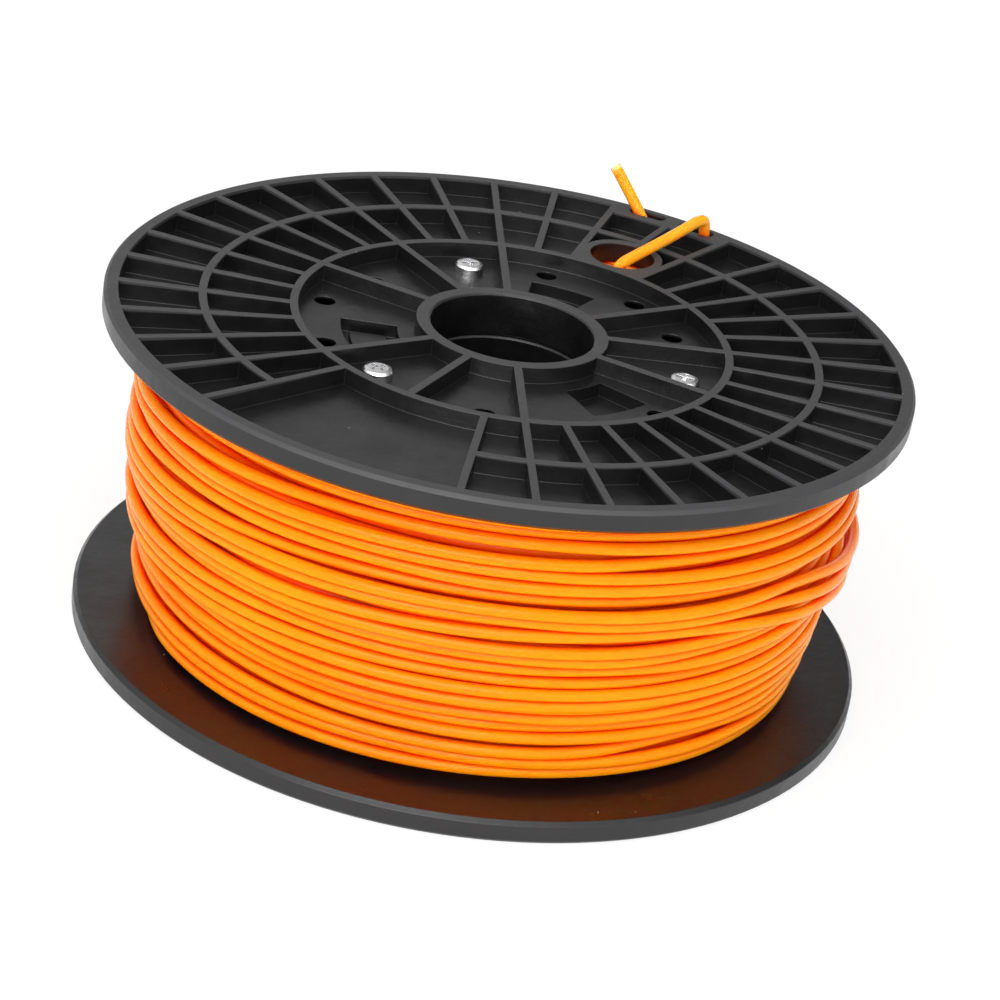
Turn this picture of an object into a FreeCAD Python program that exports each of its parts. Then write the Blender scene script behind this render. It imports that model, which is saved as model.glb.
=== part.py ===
import FreeCAD, Part
import math
import os
import Sketcher
from FreeCAD import Placement, Rotation, Vector

# Filament spool for 3 mm filament, standing on its lower flange.
# Millimetres, +Z up, origin on the axis at the surface that the spool stands on.
# The +Y side is away from the viewer. Angles are in degrees and start at the
# filament hole, whose own direction from the axis is hub_turn away from +Y.

doc = FreeCAD.newDocument("filament_spool")

SIZES = {
    # whole spool
    "flange_radius": 100.0,
    "spool_width": 86.4,
    "hub_turn": -30.0,
    # flange section
    "flange_depth": 5.7,
    "floor_depth": 4.9,
    "hub_drop": 0.7,
    "rim_wall": 3.5,
    "rim_chamfer": 0.8,
    "inner_rim_chamfer": 1.0,
    "bore_radius": 20.3,
    "hub_wall": 3.5,
    "collar_depth": 12.2,
    "bore_chamfer": 0.5,
    # ribs and rings
    "inner_ring_radius": 53.85,
    "mid_ring_radius": 76.1,
    "ring_width": 2.0,
    "rib_width": 1.8,
    "spoke_width": 2.0,
    "rib_count": 36,
    "panel_cells": 4,
    "spoke_angle": 30.0,
    # holes through the flange floor
    "screw_circle_radius": 44.3,
    "screw_spread": 19.0,
    "screw_hole_radius": 2.65,
    "vent_circle_radius": 47.5,
    "vent_spread": 15.5,
    "vent_radius": 2.65,
    # drive pockets
    "drive_inner_radius": 28.0,
    "drive_outer_radius": 41.9,
    "drive_start_angle": -4.5,
    "drive_end_angle": 19.0,
    "drive_depth": 3.4,
    "drive_wall": 1.2,
    "drive_pad_height": 1.3,
    "drive_pad_gap": 2.4,
    # filament hole and rim slots
    "filament_hole_radius": 8.5,
    "filament_tube_wall": 2.0,
    "filament_hole_offset": 63.9,
    "slot_pad_radius": 91.3,
    "slot_circle_radius": 95.8,
    "slot_width": 4.2,
    "slot_near_angle": 2.45,
    "slot_far_angle": 6.15,
    # barrel
    "barrel_radius": 55.0,
    "barrel_wall": 2.0,
    "seat_height": 3.0,
    "seat_wall": 1.6,
    "seat_clearance": 0.2,
    "tube_wall": 2.4,
    "tube_clearance": 0.15,
    "web_thickness": 2.0,
    "post_radius": 4.6,
    # screws
    "screw_radius": 2.0,
    "screw_length": 14.0,
    "screw_head_radius": 3.7,
    "screw_head_height": 2.3,
    "screw_head_edge": 0.8,
    "recess_length": 4.2,
    "recess_width": 0.9,
    "recess_depth": 1.4,
    "pilot_clearance": 0.05,
    "pilot_spare_depth": 3.0,
    # filament
    "filament_diameter": 3.0,
    "turn_count": 22,
    "pack_clearance": 0.3,
    "layer_clearance": 0.25,
    "winding_low_radius": 82.4,
    "winding_crown_radius": 89.4,
    "winding_high_radius": 87.4,
    "winding_crown_height": 53.0,
    "tail_drop": 4.2,
}

sheet = doc.addObject("Spreadsheet::Sheet", "sizes")
for row, (alias, number) in enumerate(SIZES.items(), start=1):
    sheet.set(f"A{row}", alias)
    sheet.set(f"B{row}", str(number))
    sheet.setAlias(f"B{row}", alias)
doc.recompute()


class Size:
    """A number together with the expression that gives it from the sheet."""

    def __init__(self, value, text):
        self.value = float(value)
        self.text = text

    def joined(self, sign, other, result):
        return Size(result, f"({self.text} {sign} {other.text})")

    def __add__(self, other):
        other = as_size(other)
        return self.joined("+", other, self.value + other.value)

    def __sub__(self, other):
        other = as_size(other)
        return self.joined("-", other, self.value - other.value)

    def __mul__(self, other):
        other = as_size(other)
        return self.joined("*", other, self.value * other.value)

    def __truediv__(self, other):
        other = as_size(other)
        return self.joined("/", other, self.value / other.value)

    def __neg__(self):
        return Size(-self.value, f"(0 - {self.text})")

    def floor(self):
        return Size(math.floor(self.value), f"floor({self.text})")


def as_size(number):
    """Give a bare number the same form as a size from the sheet."""
    return number if isinstance(number, Size) else Size(number, str(number))


def size(alias):
    """Read one size from the sheet."""
    return Size(sheet.get(alias), f"sizes.{alias}")


FULL_TURN = as_size(360)
THIRDS = as_size(3)
ZERO = as_size(0)

flange_radius = size("flange_radius")
spool_width = size("spool_width")
hub_turn = size("hub_turn")
flange_depth = size("flange_depth")
floor_depth = size("floor_depth")
hub_drop = size("hub_drop")
bore_radius = size("bore_radius")
collar_depth = size("collar_depth")
bore_chamfer = size("bore_chamfer")
half_ring = size("ring_width") / 2
half_rib = size("rib_width") / 2
half_spoke = size("spoke_width") / 2
hub_radius = bore_radius + size("hub_wall")
rim_inside = flange_radius - size("rim_wall")
inner_ring_inside = size("inner_ring_radius") - half_ring
inner_ring_outside = size("inner_ring_radius") + half_ring
mid_ring_inside = size("mid_ring_radius") - half_ring
mid_ring_outside = size("mid_ring_radius") + half_ring
rib_step = FULL_TURN / size("rib_count")
side_cells = ((size("rib_count") - 2 - size("panel_cells")) / 2).floor()
panel_start = rib_step * (side_cells + 1)
spoke_angle = size("spoke_angle")
screw_angle = FULL_TURN / 6 - size("screw_spread")
other_screw_angle = FULL_TURN / 6 + size("screw_spread")
hole_offset = size("filament_hole_offset")
hole_tube_radius = size("filament_hole_radius") + size("filament_tube_wall")
barrel_radius = size("barrel_radius")
barrel_inside = barrel_radius - size("barrel_wall")
seat_height = size("seat_height")
seat_radius = barrel_inside - size("seat_clearance")
upper_face = spool_width - flange_depth
drive_wall = size("drive_wall")


def origin_feature(body, role):
    """Find one of a body's own origin planes or axes."""
    return [item for item in body.Origin.OriginFeatures if item.Role == role][0]


def new_body(label):
    body = doc.addObject("PartDesign::Body", label)
    body.Label = label
    return body


def new_sketch(body, name, plane="XY_Plane", height=None, across=None):
    """Start a sketch on an origin plane, lifted along its normal or moved across it."""
    sketch = body.newObject("Sketcher::SketchObject", f"{body.Name}_{name}")
    sketch.AttachmentSupport = [(origin_feature(body, plane), "")]
    sketch.MapMode = "FlatFace"
    if height is not None:
        sketch.setExpression("AttachmentOffset.Base.z", height.text)
    if across is not None:
        sketch.setExpression("AttachmentOffset.Base.x", across.text)
    return sketch


def bind(sketch, name, number, *constraint):
    """Add a constraint whose number comes from the sheet."""
    index = sketch.addConstraint(Sketcher.Constraint(*constraint))
    sketch.renameConstraint(index, name)
    sketch.setExpression(f"Constraints.{name}", number.text)


def join(sketch, *ends):
    sketch.addConstraint(Sketcher.Constraint("Coincident", *ends))


def place_point(sketch, name, geometry, end, across, up):
    """Hold one point of a sketch at two distances from the sketch's origin."""
    bind(sketch, f"across{name}", across, "DistanceX", -1, 1, geometry, end, across.value)
    if up.value < 0:
        bind(sketch, f"down{name}", -up, "DistanceY", geometry, end, -1, 1, -up.value)
    else:
        bind(sketch, f"up{name}", up, "DistanceY", -1, 1, geometry, end, up.value)


def polygon(sketch, points):
    """Draw a closed outline through points, each a pair of sizes from the sketch's origin."""
    count = len(points)
    places = [Vector(across.value, up.value, 0) for across, up in points]
    for index in range(count):
        sketch.addGeometry(Part.LineSegment(places[index], places[(index + 1) % count]))
    for index in range(count):
        join(sketch, index, 2, (index + 1) % count, 1)
    for index, (across, up) in enumerate(points):
        place_point(sketch, index, index, 1, across, up)


def direction(angle):
    """The direction at an angle turned from +Y towards -X."""
    turn = math.radians(90 + angle)
    return Vector(math.cos(turn), math.sin(turn), 0)


def arc(centre, radius, start, end):
    """An arc counter-clockwise from a start point to an end point."""
    low = math.atan2(start.y - centre.y, start.x - centre.x)
    high = math.atan2(end.y - centre.y, end.x - centre.x)
    if high < low:
        high += 2 * math.pi
    return Part.ArcOfCircle(Part.Circle(centre, Vector(0, 0, 1), radius), low, high)


def sector(sketch, inner, outer, start, end, inset=None, outset=None):
    """Draw a ring sector between two radial lines, with its sides inside or outside them."""
    margin = inset or outset
    gap = 0.0
    if margin:
        gap = margin.value if inset else -margin.value
    corners = []
    for angle, shift in ((start.value, gap), (end.value, -gap)):
        along = direction(angle)
        aside = Vector(-along.y, along.x, 0) * shift
        for radius in (inner.value, outer.value):
            corners.append(along * math.sqrt(radius * radius - gap * gap) + aside)
    in_start, out_start, in_end, out_end = corners
    low_side = sketch.addGeometry(Part.LineSegment(in_start, out_start))
    rim = sketch.addGeometry(arc(Vector(), outer.value, out_start, out_end))
    high_side = sketch.addGeometry(Part.LineSegment(in_end, out_end))
    hub = sketch.addGeometry(arc(Vector(), inner.value, in_start, in_end))
    join(sketch, low_side, 2, rim, 1)
    join(sketch, high_side, 2, rim, 2)
    join(sketch, low_side, 1, hub, 1)
    join(sketch, high_side, 1, hub, 2)
    join(sketch, rim, 3, -1, 1)
    join(sketch, hub, 3, -1, 1)
    bind(sketch, f"outer{rim}", outer, "Radius", rim, outer.value)
    bind(sketch, f"inner{hub}", inner, "Radius", hub, inner.value)
    for side, angle in ((low_side, start), (high_side, end)):
        turn = angle + 90
        bind(sketch, f"turn{side}", turn, "Angle", side, math.radians(turn.value))
        if margin:
            bind(sketch, f"margin{side}", margin, "Distance", -1, 1, side, margin.value)
        else:
            sketch.addConstraint(Sketcher.Constraint("PointOnObject", -1, 1, side))


def reach(sketch, distance, angle):
    """Draw a construction line out from the axis, to hold what sits at its far end."""
    line = sketch.addGeometry(Part.LineSegment(Vector(), direction(angle.value) * distance.value), True)
    join(sketch, line, 1, -1, 1)
    turn = angle + 90
    bind(sketch, f"reach{line}", distance, "Distance", line, distance.value)
    bind(sketch, f"turn{line}", turn, "Angle", line, math.radians(turn.value))
    return line


def round_hole(sketch, distance, angle, radius):
    """Draw a circle whose centre is at a distance and an angle from the axis."""
    line = reach(sketch, distance, angle)
    centre = direction(angle.value) * distance.value
    circle = sketch.addGeometry(Part.Circle(centre, Vector(0, 0, 1), radius.value))
    join(sketch, circle, 3, line, 2)
    bind(sketch, f"radius{circle}", radius, "Radius", circle, radius.value)


def curved_slot(sketch, distance, width, start, end):
    """Draw a slot with round ends that follows a circle about the axis."""
    half = width / 2
    near = direction(start.value)
    far = direction(end.value)
    wide = distance + half
    narrow = distance - half
    near_line = reach(sketch, distance, start)
    far_line = reach(sketch, distance, end)
    outside = sketch.addGeometry(arc(Vector(), wide.value, near * wide.value, far * wide.value))
    inside = sketch.addGeometry(arc(Vector(), narrow.value, near * narrow.value, far * narrow.value))
    far_end = sketch.addGeometry(
        arc(far * distance.value, half.value, far * wide.value, far * narrow.value))
    near_end = sketch.addGeometry(
        arc(near * distance.value, half.value, near * narrow.value, near * wide.value))
    join(sketch, outside, 3, -1, 1)
    join(sketch, inside, 3, -1, 1)
    bind(sketch, "wide", wide, "Radius", outside, wide.value)
    bind(sketch, "narrow", narrow, "Radius", inside, narrow.value)
    starts, ends, centres = 1, 2, 3
    caps = ((near_line, near_end, starts, ends), (far_line, far_end, ends, starts))
    for line, cap, side, other_side in caps:
        sketch.addConstraint(Sketcher.Constraint("PointOnObject", outside, side, line))
        sketch.addConstraint(Sketcher.Constraint("PointOnObject", inside, side, line))
        sketch.addConstraint(Sketcher.Constraint("PointOnObject", cap, centres, line))
        join(sketch, outside, side, cap, other_side)
        join(sketch, inside, side, cap, side)


def revolve(body, sketch):
    """Turn a section about its sketch's upright axis."""
    feature = body.newObject("PartDesign::Revolution", f"{sketch.Name}_turned")
    feature.Profile = sketch
    feature.ReferenceAxis = (sketch, ["V_Axis"])
    feature.Angle = 360
    body.Tip = feature
    return feature


def pad(body, sketch, length, downward=False):
    feature = body.newObject("PartDesign::Pad", f"{sketch.Name}_pad")
    feature.Profile = sketch
    feature.setExpression("Length", length.text)
    feature.Reversed = downward
    body.Tip = feature
    return feature


def pocket(body, sketch, length, upward=False):
    feature = body.newObject("PartDesign::Pocket", f"{sketch.Name}_cut")
    feature.Profile = sketch
    feature.setExpression("Length", length.text)
    feature.Reversed = upward
    body.Tip = feature
    return feature


def around(body, features, count, angle):
    """Repeat features about Z, count times in all, over the given angle."""
    pattern = body.newObject("PartDesign::PolarPattern", f"{features[0].Name}_around")
    pattern.Originals = features
    pattern.Axis = (origin_feature(body, "Z_Axis"), [""])
    pattern.setExpression("Angle", angle.text)
    pattern.setExpression("Occurrences", count.text)
    body.Tip = pattern
    return pattern


def mirror(body, features):
    """Repeat features on the other side of the plane through the axis and the filament hole."""
    copy = body.newObject("PartDesign::Mirrored", f"{features[0].Name}_mirrored")
    copy.Originals = features
    copy.MirrorPlane = (origin_feature(body, "YZ_Plane"), [""])
    body.Tip = copy
    return copy


def flange_section(body):
    """The flange turned solid: plate, full-height rib zone, seat ring and hub collar."""
    sketch = new_sketch(body, "section", "XZ_Plane")
    seat_inside = seat_radius - size("seat_wall")
    seat_end = -(flange_depth + seat_height)
    rim_chamfer = size("rim_chamfer")
    inner_chamfer = size("inner_rim_chamfer")
    polygon(sketch, [
        (bore_radius + bore_chamfer, -hub_drop),
        (inner_ring_outside, -hub_drop),
        (rim_inside, ZERO),
        (flange_radius - rim_chamfer, ZERO),
        (flange_radius, -rim_chamfer),
        (flange_radius, inner_chamfer - flange_depth),
        (flange_radius - inner_chamfer, -flange_depth),
        (seat_radius, -flange_depth),
        (seat_radius, seat_end),
        (seat_inside, seat_end),
        (seat_inside, -flange_depth),
        (hub_radius, -flange_depth),
        (hub_radius, -collar_depth),
        (bore_radius + bore_chamfer, -collar_depth),
        (bore_radius, bore_chamfer - collar_depth),
        (bore_radius, -hub_drop - bore_chamfer),
    ])
    revolve(body, sketch)


def half_cells(body, name, inner, outer):
    """Cut a row of cells down one side from the filament hole to the blank panel."""
    sketch = new_sketch(body, name)
    sector(sketch, inner, outer, rib_step, rib_step * 2, inset=half_rib)
    cut = pocket(body, sketch, floor_depth)
    return around(body, [cut], side_cells, rib_step * (side_cells - 1))


def mirrored_cells(body, name, inner, outer):
    """Cut the same row down the other side."""
    sketch = new_sketch(body, name)
    sector(sketch, inner, outer, -(rib_step * 2), -rib_step, inset=half_rib)
    cut = pocket(body, sketch, floor_depth)
    row = around(body, [cut], side_cells, rib_step * (side_cells - 1))
    row.Reversed = True
    return row


def hole_corner(sketch):
    """Draw the open corner between the filament tube, a rib and the middle ring."""
    aside = half_rib.value
    tube = hole_tube_radius.value
    ring = mid_ring_inside.value
    centre = Vector(0, hole_offset.value, 0)
    along = direction(rib_step.value)
    rib_side = Vector(along.y, -along.x, 0) * aside
    ring_reach = math.sqrt(ring * ring - aside * aside)
    middle = along * centre.dot(along) + rib_side
    tube_reach = math.sqrt(tube * tube - (middle - centre).Length ** 2)
    tube_top = Vector(-aside, centre.y + math.sqrt(tube * tube - aside * aside), 0)
    ring_near = Vector(-aside, ring_reach, 0)
    ring_far = along * ring_reach + rib_side
    tube_side = middle + along * tube_reach
    reach_line = reach(sketch, hole_offset, ZERO)
    near_side = sketch.addGeometry(Part.LineSegment(tube_top, ring_near))
    ring_arc = sketch.addGeometry(arc(Vector(), ring, ring_near, ring_far))
    far_side = sketch.addGeometry(Part.LineSegment(tube_side, ring_far))
    tube_arc = sketch.addGeometry(arc(centre, tube, tube_top, tube_side))
    join(sketch, near_side, 2, ring_arc, 1)
    join(sketch, ring_arc, 2, far_side, 2)
    join(sketch, far_side, 1, tube_arc, 2)
    join(sketch, tube_arc, 1, near_side, 1)
    join(sketch, ring_arc, 3, -1, 1)
    join(sketch, tube_arc, 3, reach_line, 2)
    turn = rib_step + 90
    sketch.addConstraint(Sketcher.Constraint("Vertical", near_side))
    bind(sketch, "stub", half_rib, "DistanceX", near_side, 1, -1, 1, aside)
    bind(sketch, "ring", mid_ring_inside, "Radius", ring_arc, ring)
    bind(sketch, "tube", hole_tube_radius, "Radius", tube_arc, tube)
    bind(sketch, "ribTurn", turn, "Angle", far_side, math.radians(turn.value))
    bind(sketch, "ribSide", half_rib, "Distance", -1, 1, far_side, aside)


def make_flange(label):
    """One flange moulding: rim top at z = 0, ribs facing +Z, filament hole towards +Y."""
    body = new_body(label)
    flange_section(body)

    # Three boxes under the floor hold the drive pockets.
    box = new_sketch(body, "drive_box", height=-floor_depth)
    sector(box, size("drive_inner_radius") - drive_wall, size("drive_outer_radius") + drive_wall,
           size("drive_start_angle"), size("drive_end_angle"), outset=drive_wall)
    around(body, [pad(body, box, size("drive_depth") + drive_wall, downward=True)], THIRDS, FULL_TURN)

    # The open cells between the ribs and the rings.
    half_cells(body, "outer_cell", mid_ring_outside, rim_inside)
    mirrored_cells(body, "outer_cell_opposite", mid_ring_outside, rim_inside)
    half_cells(body, "middle_cell", inner_ring_outside, mid_ring_inside)
    mirrored_cells(body, "middle_cell_opposite", inner_ring_outside, mid_ring_inside)

    # The panel left without ribs, opposite the filament hole.
    panel = new_sketch(body, "panel")
    sector(panel, inner_ring_outside, rim_inside, panel_start, FULL_TURN - panel_start, inset=half_rib)
    pocket(body, panel, floor_depth)

    # The inner zone has one wide and two narrow openings in each third.
    for index in range(3):
        opening = new_sketch(body, f"inner_opening{index}")
        start = spoke_angle * (index if index else -1)
        end = spoke_angle * (index + 1)
        sector(opening, hub_radius, inner_ring_inside, start, end, inset=half_spoke)
        around(body, [pocket(body, opening, floor_depth)], THIRDS, FULL_TURN)

    # Two short cells with a solid pad outside them, where the rim slots go through.
    short_cell = new_sketch(body, "short_cell")
    sector(short_cell, mid_ring_outside, size("slot_pad_radius"), ZERO, rib_step, inset=half_rib)
    short_cut = pocket(body, short_cell, floor_depth)
    mirror(body, [short_cut])
    slot = new_sketch(body, "rim_slot")
    curved_slot(slot, size("slot_circle_radius"), size("slot_width"),
                size("slot_near_angle"), size("slot_far_angle"))
    slot_cut = pocket(body, slot, flange_depth)
    mirror(body, [slot_cut])

    # The filament hole, with the corners beside its tube left open.
    corner = new_sketch(body, "hole_corner")
    hole_corner(corner)
    corner_cut = pocket(body, corner, floor_depth)
    mirror(body, [corner_cut])
    hole = new_sketch(body, "filament_hole")
    round_hole(hole, hole_offset, ZERO, size("filament_hole_radius"))
    pocket(body, hole, flange_depth)

    # Drive pockets, one of them with a raised pad.
    drive = new_sketch(body, "drive_pocket", height=-floor_depth)
    sector(drive, size("drive_inner_radius"), size("drive_outer_radius"),
           size("drive_start_angle"), size("drive_end_angle"))
    around(body, [pocket(body, drive, size("drive_depth"))], THIRDS, FULL_TURN)
    raised = new_sketch(body, "drive_pad", height=-(floor_depth + size("drive_depth")))
    pad_gap = size("drive_pad_gap")
    third = FULL_TURN / 3
    sector(raised, size("drive_inner_radius") + pad_gap, size("drive_outer_radius") - pad_gap,
           third + size("drive_start_angle"), third + size("drive_end_angle"), inset=pad_gap)
    pad(body, raised, size("drive_pad_height"))

    # Screw holes and vents, six of each.
    holes = new_sketch(body, "small_holes")
    round_hole(holes, size("screw_circle_radius"), screw_angle, size("screw_hole_radius"))
    round_hole(holes, size("screw_circle_radius"), other_screw_angle, size("screw_hole_radius"))
    round_hole(holes, size("vent_circle_radius"), size("vent_spread"), size("vent_radius"))
    round_hole(holes, size("vent_circle_radius"), -size("vent_spread"), size("vent_radius"))
    around(body, [pocket(body, holes, flange_depth)], THIRDS, FULL_TURN)
    return body


def copy_of(original, label):
    """A second moulding of the same shape."""
    body = new_body(label)
    body.BaseFeature = original
    return body


def make_barrel(label):
    """The drum between the flanges, with a tube for the collars and posts for the screws."""
    body = new_body(label)
    socket_radius = hub_radius + size("tube_clearance")
    socket_floor = collar_depth + size("tube_clearance")
    tube_radius = socket_radius + size("tube_wall")
    web_low = flange_depth + seat_height + drive_wall
    web_height = spool_width - web_low * 2
    barrel_length = upper_face - flange_depth

    shell = new_sketch(body, "shell", "XZ_Plane")
    polygon(shell, [
        (barrel_inside, flange_depth),
        (barrel_radius, flange_depth),
        (barrel_radius, upper_face),
        (barrel_inside, upper_face),
    ])
    revolve(body, shell)

    half_web = size("web_thickness") / 2
    shell_middle = barrel_radius - size("barrel_wall") / 2
    web = new_sketch(body, "web", height=web_low)
    sector(web, socket_radius + half_web, shell_middle, FULL_TURN / 6, FULL_TURN / 6, outset=half_web)
    around(body, [pad(body, web, web_height)], THIRDS, FULL_TURN)

    fin = new_sketch(body, "fin", height=web_low)
    sector(fin, size("screw_circle_radius") + size("screw_radius") * 1.5, shell_middle,
           screw_angle, screw_angle, outset=half_web)
    around(body, [pad(body, fin, web_height)], THIRDS, FULL_TURN)

    post = new_sketch(body, "post", height=flange_depth)
    round_hole(post, size("screw_circle_radius"), screw_angle, size("post_radius"))
    around(body, [pad(body, post, barrel_length)], THIRDS, FULL_TURN)

    tube = new_sketch(body, "tube", "XZ_Plane")
    polygon(tube, [
        (socket_radius, flange_depth),
        (tube_radius, flange_depth),
        (tube_radius, upper_face),
        (socket_radius, upper_face),
        (socket_radius, spool_width - socket_floor),
        (bore_radius + bore_chamfer, spool_width - socket_floor),
        (bore_radius, spool_width - socket_floor - bore_chamfer),
        (bore_radius, socket_floor + bore_chamfer),
        (bore_radius + bore_chamfer, socket_floor),
        (socket_radius, socket_floor),
    ])
    revolve(body, tube)

    pilot_radius = size("screw_radius") + size("pilot_clearance")
    pilot_depth = size("screw_length") + floor_depth - flange_depth + size("pilot_spare_depth")
    low_pilot = new_sketch(body, "lower_pilot", height=flange_depth)
    round_hole(low_pilot, size("screw_circle_radius"), screw_angle, pilot_radius)
    around(body, [pocket(body, low_pilot, pilot_depth, upward=True)], THIRDS, FULL_TURN)
    high_pilot = new_sketch(body, "upper_pilot", height=upper_face)
    round_hole(high_pilot, size("screw_circle_radius"), screw_angle, pilot_radius)
    around(body, [pocket(body, high_pilot, pilot_depth)], THIRDS, FULL_TURN)
    return body


def make_screws(label, side):
    """Three pan-head screws seated on a flange floor at z = -floor_depth, shanks downward."""
    body = new_body(label)
    body.AllowCompound = True
    head_radius = size("screw_head_radius")
    head_edge = size("screw_head_edge")
    head_height = size("screw_head_height")
    shank = size("screw_radius")
    length = size("screw_length")
    section = new_sketch(body, "section", "XZ_Plane", across=size("screw_circle_radius"))
    tip = -(floor_depth + length)
    head_top = head_height - floor_depth
    polygon(section, [
        (ZERO, tip),
        (shank / 2, tip),
        (shank, tip + shank / 2),
        (shank, -floor_depth),
        (head_radius, -floor_depth),
        (head_radius, head_top - head_edge),
        (head_radius - head_edge / 2, head_top - head_edge / 4),
        (head_radius - head_edge * 1.5, head_top),
        (ZERO, head_top),
    ])
    turned = revolve(body, section)
    recess = new_sketch(body, "recess", height=head_top, across=size("screw_circle_radius"))
    arm = size("recess_length") / 2
    slit = size("recess_width") / 2
    corners = [(slit, slit), (slit, arm), (-slit, arm), (-slit, slit), (-arm, slit), (-arm, -slit),
               (-slit, -slit), (-slit, -arm), (slit, -arm), (slit, -slit), (arm, -slit), (arm, slit)]
    cross(recess, corners)
    cut = pocket(body, recess, size("recess_depth"))
    around(body, [turned, cut], THIRDS, FULL_TURN)
    turn = screw_angle * side + 90
    body.Placement = Placement(Vector(0, 0, 0), Rotation(Vector(0, 0, 1), turn.value))
    return body


def cross(sketch, corners):
    """Draw a closed outline whose corners may lie on either side of the sketch's origin."""
    count = len(corners)
    places = [Vector(across.value, up.value, 0) for across, up in corners]
    for index in range(count):
        sketch.addGeometry(Part.LineSegment(places[index], places[(index + 1) % count]))
    for index in range(count):
        join(sketch, index, 2, (index + 1) % count, 1)
    for index, (across, up) in enumerate(corners):
        if across.value < 0:
            bind(sketch, f"left{index}", -across, "DistanceX", index, 1, -1, 1, -across.value)
        else:
            bind(sketch, f"right{index}", across, "DistanceX", -1, 1, index, 1, across.value)
        if up.value < 0:
            bind(sketch, f"below{index}", -up, "DistanceY", index, 1, -1, 1, -up.value)
        else:
            bind(sketch, f"above{index}", up, "DistanceY", -1, 1, index, 1, up.value)


filament_radius = size("filament_diameter") / 2
pack_clearance = size("pack_clearance")
winding_bottom = flange_depth + pack_clearance + filament_radius
winding_top = spool_width - winding_bottom


def winding_circle():
    """Centre and radius, in the r-z plane, of the arc that the outer turns' centres lie on."""
    low = Vector(size("winding_low_radius").value, 0, winding_bottom.value)
    crown = Vector(size("winding_crown_radius").value, 0, size("winding_crown_height").value)
    high = Vector(size("winding_high_radius").value, 0, winding_top.value)
    curve = Part.Arc(low, crown, high).toShape().Curve
    return curve.Center, curve.Radius


def make_pack(label):
    """The packed inner layers as one plain ring, its outside following the outer turns."""
    body = new_body(label)
    sketch = new_sketch(body, "section", "XZ_Plane")
    inner = barrel_radius + pack_clearance
    low = flange_depth + pack_clearance
    high = upper_face - pack_clearance
    depth = filament_radius + size("layer_clearance")
    low_corner = (size("winding_low_radius") - depth, low)
    crown = (size("winding_crown_radius") - depth, size("winding_crown_height"))
    high_corner = (size("winding_high_radius") - depth, high)
    corners = [low_corner, high_corner, (inner, high), (inner, low)]
    places = [Vector(across.value, up.value, 0) for across, up in corners]
    middle = Vector(crown[0].value, crown[1].value, 0)
    sketch.addGeometry(Part.Arc(places[0], middle, places[1]))
    for index in range(1, 4):
        sketch.addGeometry(Part.LineSegment(places[index], places[(index + 1) % 4]))
    for index in range(4):
        join(sketch, index, 2, (index + 1) % 4, 1)
    for index, (across, up) in enumerate(corners):
        place_point(sketch, index, index, 1, across, up)
    crown_point = sketch.addGeometry(Part.Point(middle), True)
    place_point(sketch, crown_point, crown_point, 1, *crown)
    sketch.addConstraint(Sketcher.Constraint("PointOnObject", crown_point, 1, 0))
    revolve(body, sketch)
    return body


def pipe(route, radius):
    """Sweep a circle along a route of edges and return the solid."""
    first = route.OrderedEdges[0]
    start = first.valueAt(first.FirstParameter)
    heading = first.tangentAt(first.FirstParameter)
    circle = Part.Wire([Part.makeCircle(radius, start, heading)])
    maker = Part.BRepOffsetAPI.MakePipeShell(route)
    maker.add(circle)
    maker.build()
    maker.makeSolid()
    return maker.shape()


def biarc(start, start_heading, end, end_heading):
    """Two arcs that join two points smoothly along two headings."""
    across = end - start
    both = start_heading + end_heading
    lean = 2 * (1 - start_heading.dot(end_heading))
    along = across.dot(both)
    reach_length = (math.sqrt(along * along + lean * across.dot(across)) - along) / lean
    first_knee = start + start_heading * reach_length
    second_knee = end - end_heading * reach_length
    meeting = (first_knee + second_knee) / 2
    edges = []
    for tail, knee, head in ((start, first_knee, meeting), (meeting, second_knee, end)):
        chord_middle = (tail + head) / 2
        half_chord = (head - tail).Length / 2
        rise = knee - chord_middle
        bulge = half_chord * math.tan(math.atan2(rise.Length, half_chord) / 2)
        top = chord_middle + rise.normalize() * bulge
        edges.append(Part.Arc(tail, top, head).toShape())
    return edges


def turn_point(turns, centre, radius, pitch):
    """Where the outer layer's centre line is after a number of turns, and which way it heads."""
    angle = math.pi / 2 + 2 * math.pi * turns
    height = winding_bottom.value + pitch * turns
    reach_out = math.sqrt(radius ** 2 - (height - centre.z) ** 2)
    distance = centre.x + reach_out
    growth = -(height - centre.z) / reach_out * pitch
    outward = Vector(math.cos(angle), math.sin(angle), 0)
    around_axis = Vector(-math.sin(angle), math.cos(angle), 0)
    heading = outward * growth + around_axis * (2 * math.pi * distance) + Vector(0, 0, pitch)
    return outward * distance + Vector(0, 0, height), heading.normalize()


def make_outer_layer(label):
    """The outer turns as one unbroken strand that climbs from the lower flange to the upper one."""
    centre, radius = winding_circle()
    turn_count = int(size("turn_count").value)
    pitch = (winding_top.value - winding_bottom.value) / turn_count
    steps = turn_count * 2
    stations = [turn_point(step / 2, centre, radius, pitch) for step in range(steps + 1)]
    straight = size("filament_diameter").value
    first_point, first_heading = stations[0]
    last_point, last_heading = stations[-1]
    edges = [Part.LineSegment(first_point - first_heading * straight, first_point).toShape()]
    for (start, start_heading), (end, end_heading) in zip(stations, stations[1:]):
        edges += biarc(start, start_heading, end, end_heading)
    edges.append(Part.LineSegment(last_point, last_point + last_heading * straight).toShape())
    route = Part.Wire(edges)
    print_least_gap(route, turn_count)
    feature = doc.addObject("Part::Feature", label)
    feature.Label = label
    feature.Shape = pipe(route, filament_radius.value)
    return feature


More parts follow.
